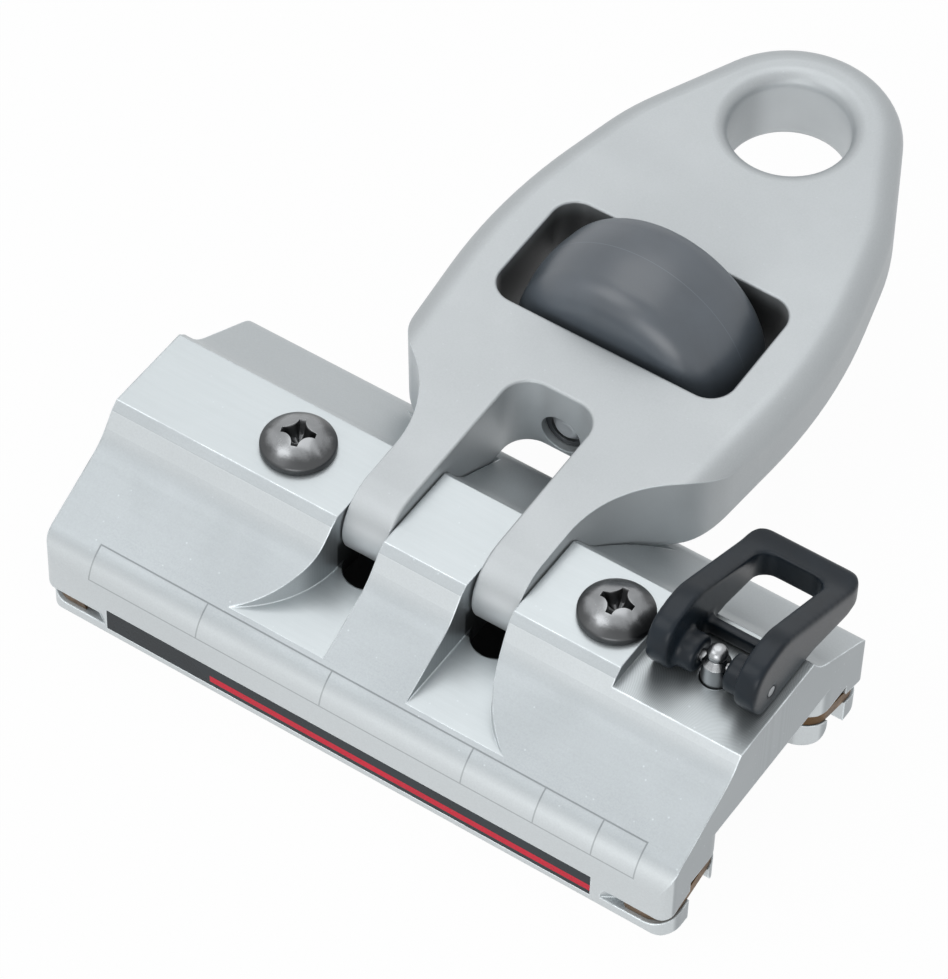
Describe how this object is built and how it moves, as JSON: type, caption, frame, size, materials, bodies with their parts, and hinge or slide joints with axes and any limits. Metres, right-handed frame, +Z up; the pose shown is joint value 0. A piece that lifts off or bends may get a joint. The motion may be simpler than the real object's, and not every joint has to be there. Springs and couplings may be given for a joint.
{
  "type": "mainsheet track car with swinging toggle",
  "caption": "Ball-bearing saddle that slides along a deck rail, with a swinging toggle arm, roller, eye and spring stop pin.",
  "frame": {"origin": "middle of the saddle's length and width, level with the underside of its legs", "axes": "+X along the rail towards the stop pin, +Y towards the side the toggle lies on, +Z up"},
  "size_m": [0.133, 0.1668, 0.0503],
  "materials": {
    "saddle_aluminium": "satin anodised",
    "toggle_aluminium": "matte anodised",
    "roller_rubber": "matte",
    "handle_plastic": "satin moulded",
    "strip_black": "satin",
    "screw_steel": "polished",
    "pin_steel": "ground",
    "ball_steel": "polished",
    "spring_steel": "drawn",
    "guide_bronze": "dull",
    "bronze": "turned",
    "washer_plastic": "matte"
  },
  "bodies": {
    "car": {"car_body": "saddle_aluminium", "bearing_balls_front": "ball_steel", "bearing_balls_back": "ball_steel", "side_strip_front": "strip_black", "side_strip_back": "strip_black", "ball_guide_front_left": "guide_bronze", "ball_guide_front_right": "guide_bronze", "ball_guide_back_left": "guide_bronze", "ball_guide_back_right": "guide_bronze", "retaining_screw_left": "screw_steel", "retaining_screw_right": "screw_steel", "hinge_pin": "pin_steel", "bore_plug": "saddle_aluminium", "pin_bush": "bronze", "pin_spring": "spring_steel"},
    "toggle": {"toggle": "toggle_aluminium", "hinge_bush_left": "bronze", "hinge_bush_right": "bronze", "roller_axle": "pin_steel", "axle_ring": "spring_steel", "roller_washer_near": "washer_plastic", "roller_washer_far": "washer_plastic"},
    "roller": {"roller": "roller_rubber", "roller_bush": "bronze"},
    "stop_pin": {"stop_pin": "pin_steel", "handle_cross_pin": "pin_steel"},
    "pull_handle": {"pull_handle": "handle_plastic"}
  },
  "joints": [
    {"name": "toggle_swing", "type": "hinge", "parent": "car", "child": "toggle", "pos_m": [0, 0, 0.0279], "axis": [1, 0, 0], "range_deg": [0, 174.8]},
    {"name": "roller_spin", "type": "hinge", "parent": "toggle", "child": "roller", "pos_m": [0, 0.06094, 0.02736], "axis": [0, 0.999, 0.0454], "continuous": true},
    {"name": "stop_pin_slide", "type": "slide", "parent": "car", "child": "stop_pin", "axis": [0, 0, 1], "range_m": [0, 0.003], "deforming": ["pin_spring"]},
    {"name": "handle_flip", "type": "hinge", "parent": "stop_pin", "child": "pull_handle", "pos_m": [0.0538, 0, 0.0346], "axis": [1, 0, 0], "range_deg": [0, 90]}
  ],
  "couplings": [
    {"joint": "stop_pin_slide", "follows": "handle_flip", "m_per_rad": 0.0019099}
  ]
}
